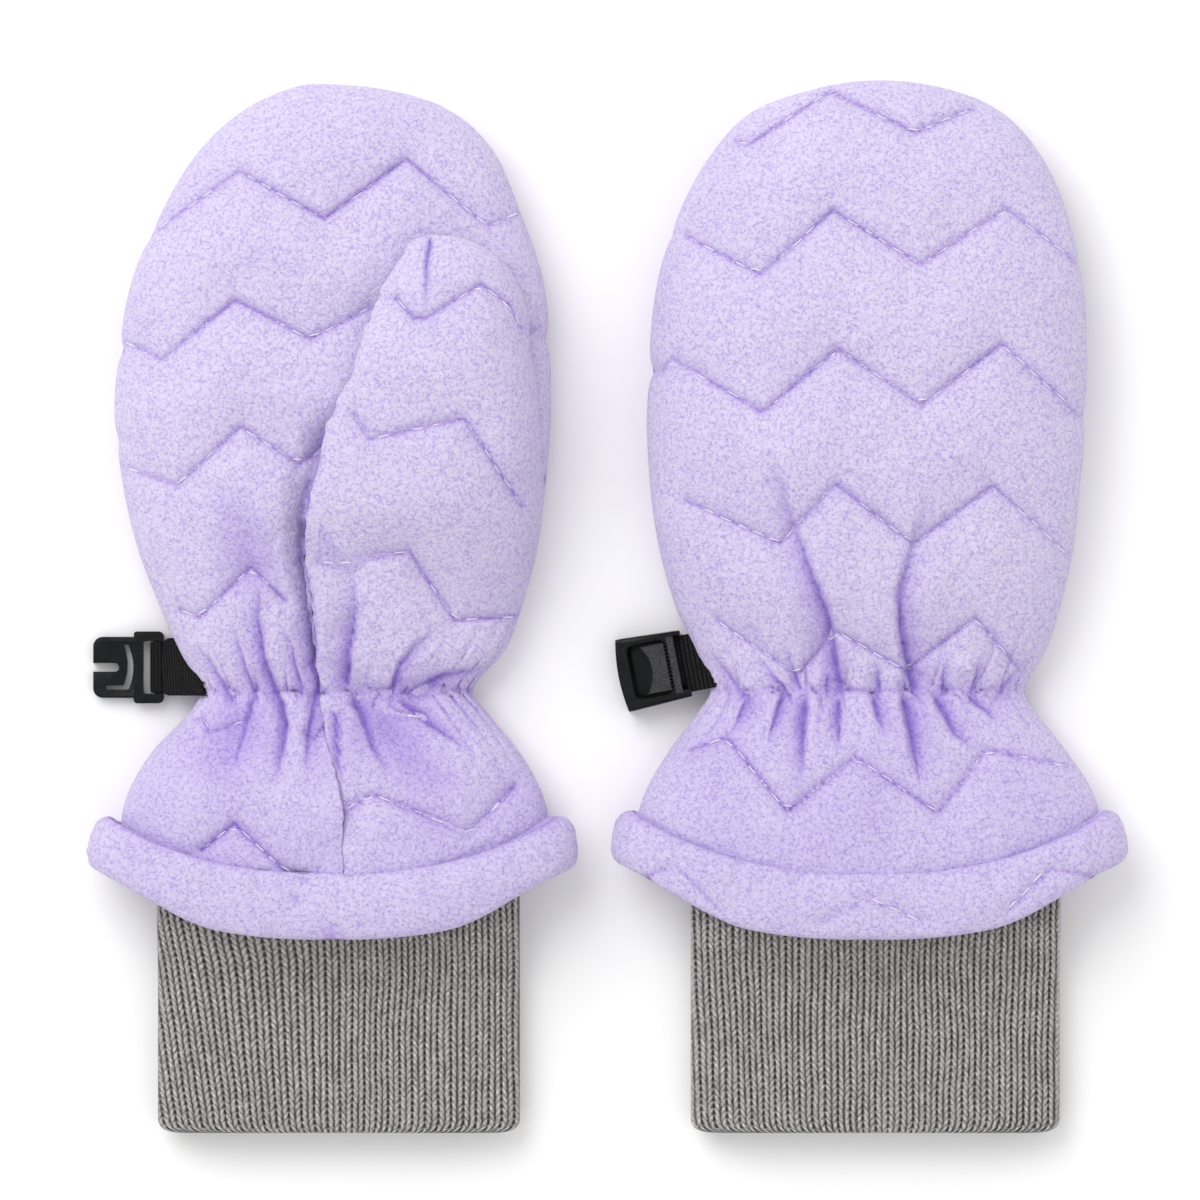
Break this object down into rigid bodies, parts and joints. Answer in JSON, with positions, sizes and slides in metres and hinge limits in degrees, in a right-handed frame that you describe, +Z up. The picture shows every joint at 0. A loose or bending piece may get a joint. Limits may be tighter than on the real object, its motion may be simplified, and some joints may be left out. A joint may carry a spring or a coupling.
{
  "type": "pair of baby mittens",
  "caption": "Small child's quilted fleece mittens laid flat, with gathered wrists, rolled hems, ribbed knit cuffs and webbing clips that fasten them together.",
  "frame": {"origin": "centre of the pair's box, on the surface that it lies on", "axes": "+Z up from that surface, +Y along the hands towards the fingertips, +X from the mitten that lies palm up to the one that lies back up"},
  "size_m": [0.1721, 0.1755, 0.028],
  "materials": {
    "fleece": "short-pile lilac fleece, quilted",
    "rib_knit": "grey 1x1 rib knit",
    "webbing": "ribbed black webbing",
    "clip_plastic": "fine-textured black moulding"
  },
  "bodies": {
    "mittens": {"palm_up_back_panel": "fleece", "palm_up_palm_panel": "fleece", "palm_up_thumb_panel": "fleece", "palm_up_thumb_inner": "fleece", "palm_up_hem_band": "fleece", "palm_up_knit_cuff": "rib_knit", "palm_up_webbing": "webbing", "back_up_back_panel": "fleece", "back_up_palm_panel": "fleece", "back_up_thumb_panel": "fleece", "back_up_thumb_inner": "fleece", "back_up_hem_band": "fleece", "back_up_knit_cuff": "rib_knit", "back_up_webbing": "webbing"},
    "hook": {"palm_up_hook": "clip_plastic"},
    "buckle": {"back_up_buckle": "clip_plastic"}
  },
  "joints": [
    {"name": "hook_swing", "type": "hinge", "parent": "mittens", "child": "hook", "pos_m": [-0.0746, -0.01, 0.0015], "axis": [0, 1, 0], "range_deg": [0, 90]},
    {"name": "buckle_swing", "type": "hinge", "parent": "mittens", "child": "buckle", "pos_m": [0.0117, -0.009, 0.0024], "axis": [-0.1908, 0.9816, 0], "range_deg": [0, 25]}
  ]
}
